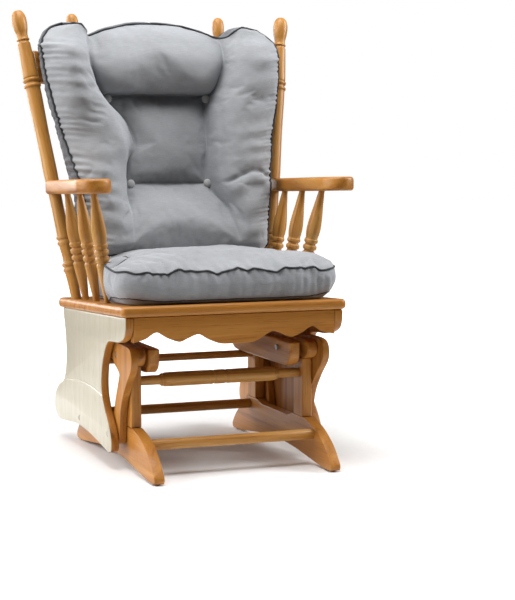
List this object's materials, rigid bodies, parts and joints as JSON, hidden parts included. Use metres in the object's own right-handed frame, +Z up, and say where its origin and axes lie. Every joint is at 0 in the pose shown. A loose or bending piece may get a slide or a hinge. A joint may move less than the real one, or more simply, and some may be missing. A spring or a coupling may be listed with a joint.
{
  "type": "glider nursery chair",
  "caption": "Wooden glider armchair with turned back posts, spindle arms, scalloped apron, winged tufted back cushion and seat hung on swing links over a footed base.",
  "frame": {"origin": "centre of the bounding box at floor level, under the four glides", "axes": "+Z up, -Y is the front where the sitter's knees are, +X to the viewer's right when looking at the front"},
  "size_m": [0.7342, 0.7543, 1.071],
  "materials": {
    "board_wood": "satin clear lacquer over golden oak",
    "panel_wood": "satin clear lacquer over golden oak",
    "turned_wood": "satin clear lacquer over golden oak",
    "seat_fabric": "mid grey woven cotton twill",
    "back_fabric": "mid grey woven cotton twill",
    "button_fabric": "light grey covered button",
    "bolt_steel": "dull zinc plated",
    "glide_rubber": "matt black"
  },
  "bodies": {
    "base": {"bolt_up_front_l": "bolt_steel", "bolt_up_front_r": "bolt_steel", "bolt_up_rear_l": "bolt_steel", "bolt_up_rear_r": "bolt_steel", "glide_front_l": "glide_rubber", "glide_front_r": "glide_rubber", "glide_rear_l": "glide_rubber", "glide_rear_r": "glide_rubber", "inner_rail_l": "board_wood", "inner_rail_r": "board_wood", "runner_l": "board_wood", "runner_r": "board_wood", "stretcher_low_front": "turned_wood", "stretcher_low_rear": "turned_wood", "stretcher_mid_front": "turned_wood", "stretcher_up_rear": "turned_wood", "top_rail_l": "board_wood", "top_rail_r": "board_wood", "upright_front_l": "board_wood", "upright_front_r": "board_wood", "upright_rear_l": "board_wood", "upright_rear_r": "board_wood"},
    "seat": {"apron_front": "board_wood", "apron_rear": "board_wood", "arm_spindle_a_l": "turned_wood", "arm_spindle_a_r": "turned_wood", "arm_spindle_b_l": "turned_wood", "arm_spindle_b_r": "turned_wood", "arm_spindle_c_l": "turned_wood", "arm_spindle_c_r": "turned_wood", "armrest_l": "board_wood", "armrest_r": "board_wood", "back_cushion": "back_fabric", "back_spindle_inner_l": "turned_wood", "back_spindle_inner_r": "turned_wood", "back_spindle_outer_l": "turned_wood", "back_spindle_outer_r": "turned_wood", "bolt_low_front_l": "bolt_steel", "bolt_low_front_r": "bolt_steel", "bolt_low_rear_l": "bolt_steel", "bolt_low_rear_r": "bolt_steel", "button_high_l": "button_fabric", "button_high_r": "button_fabric", "button_low_l": "button_fabric", "button_low_r": "button_fabric", "crest_rail": "board_wood", "deck": "board_wood", "post_l": "turned_wood", "post_r": "turned_wood", "seat_cushion": "seat_fabric", "side_panel_l": "panel_wood", "side_panel_r": "panel_wood"},
    "link_front_l": {"link_front_l": "board_wood"},
    "link_front_r": {"link_front_r": "board_wood"},
    "link_rear_l": {"link_rear_l": "board_wood"},
    "link_rear_r": {"link_rear_r": "board_wood"}
  },
  "joints": [
    {"name": "front_left_swing", "type": "hinge", "parent": "base", "child": "link_front_l", "pos_m": [-0.2322, -0.1496, 0.264], "axis": [1, 0, 0], "range_deg": [-14, 14]},
    {"name": "seat_hang", "type": "hinge", "parent": "link_front_l", "child": "seat", "pos_m": [-0.2322, -0.1496, 0.082], "axis": [1, 0, 0], "range_deg": [-14, 14]},
    {"name": "front_right_swing", "type": "hinge", "parent": "base", "child": "link_front_r", "pos_m": [0.2322, -0.1496, 0.264], "axis": [1, 0, 0], "range_deg": [-14, 14]},
    {"name": "rear_left_swing", "type": "hinge", "parent": "base", "child": "link_rear_l", "pos_m": [-0.2322, 0.0924, 0.264], "axis": [1, 0, 0], "range_deg": [-14, 14]},
    {"name": "rear_right_swing", "type": "hinge", "parent": "base", "child": "link_rear_r", "pos_m": [0.2322, 0.0924, 0.264], "axis": [1, 0, 0], "range_deg": [-14, 14]}
  ],
  "couplings": [
    {"joint": "seat_hang", "follows": "front_left_swing", "ratio": -1},
    {"joint": "front_right_swing", "follows": "front_left_swing", "ratio": 1},
    {"joint": "rear_left_swing", "follows": "front_left_swing", "ratio": 1},
    {"joint": "rear_right_swing", "follows": "front_left_swing", "ratio": 1}
  ]
}
